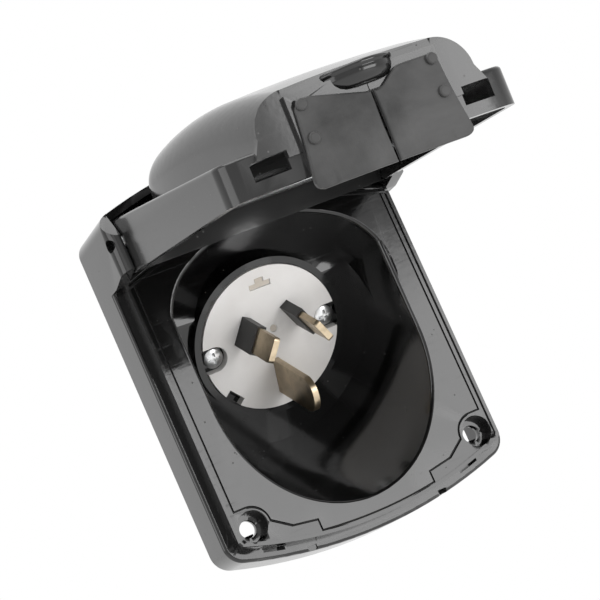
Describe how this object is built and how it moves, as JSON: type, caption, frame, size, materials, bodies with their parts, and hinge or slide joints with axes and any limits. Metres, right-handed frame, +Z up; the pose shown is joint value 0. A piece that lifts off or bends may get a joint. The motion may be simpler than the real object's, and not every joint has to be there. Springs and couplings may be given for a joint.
{
  "type": "flush power inlet with hinged lid",
  "caption": "Black flush-mount caravan power inlet: flat-pin plug insert in a deep well under a raised domed lid with split rubber cord flaps.",
  "frame": {"origin": "centre of the four fixing holes, in the plane of the wall", "axes": "+Z up, -Y out of the wall towards the user, +X to the user's right"},
  "size_m": [0.0756, 0.1514, 0.0974],
  "materials": {
    "housing_plastic": "high gloss moulded",
    "lid_plastic": "high gloss moulded",
    "gasket_rubber": "matt",
    "flap_rubber": "satin",
    "disc_plastic": "fine matt",
    "block_plastic": "matt",
    "sleeve_plastic": "satin",
    "pin_brass": "drawn",
    "zinc_steel": "zinc plated"
  },
  "bodies": {
    "base": {"base_housing": "housing_plastic", "wall_gasket": "gasket_rubber", "lid_seal": "gasket_rubber", "inlet_disc": "disc_plastic", "active_pin": "pin_brass", "neutral_pin": "pin_brass", "earth_pin": "pin_brass", "active_sleeve": "sleeve_plastic", "neutral_sleeve": "sleeve_plastic", "inlet_body": "block_plastic", "inlet_screws": "zinc_steel", "terminal_screws": "zinc_steel", "rear_cover": "block_plastic", "cover_screws": "zinc_steel", "cord_gland": "gasket_rubber", "hinge_pin": "zinc_steel"},
    "lid": {"lid_shell": "lid_plastic", "left_flap_edge": "flap_rubber", "right_flap_edge": "flap_rubber", "flap_rivets": "flap_rubber"},
    "left_flap": {"left_cord_flap": "flap_rubber"},
    "right_flap": {"right_cord_flap": "flap_rubber"}
  },
  "joints": [
    {"name": "lid_hinge", "type": "hinge", "parent": "base", "child": "lid", "pos_m": [0, -0.0246, 0.0349], "axis": [-1, 0, 0], "range_deg": [-84, 6]},
    {"name": "left_flap_fold", "type": "hinge", "parent": "lid", "child": "left_flap", "pos_m": [-0.01282, -0.10549, 0.02549], "axis": [0, 0.1045, -0.9945], "range_deg": [0, 50]},
    {"name": "right_flap_fold", "type": "hinge", "parent": "lid", "child": "right_flap", "pos_m": [0.01282, -0.10549, 0.02549], "axis": [0, -0.1045, 0.9945], "range_deg": [0, 50]}
  ]
}
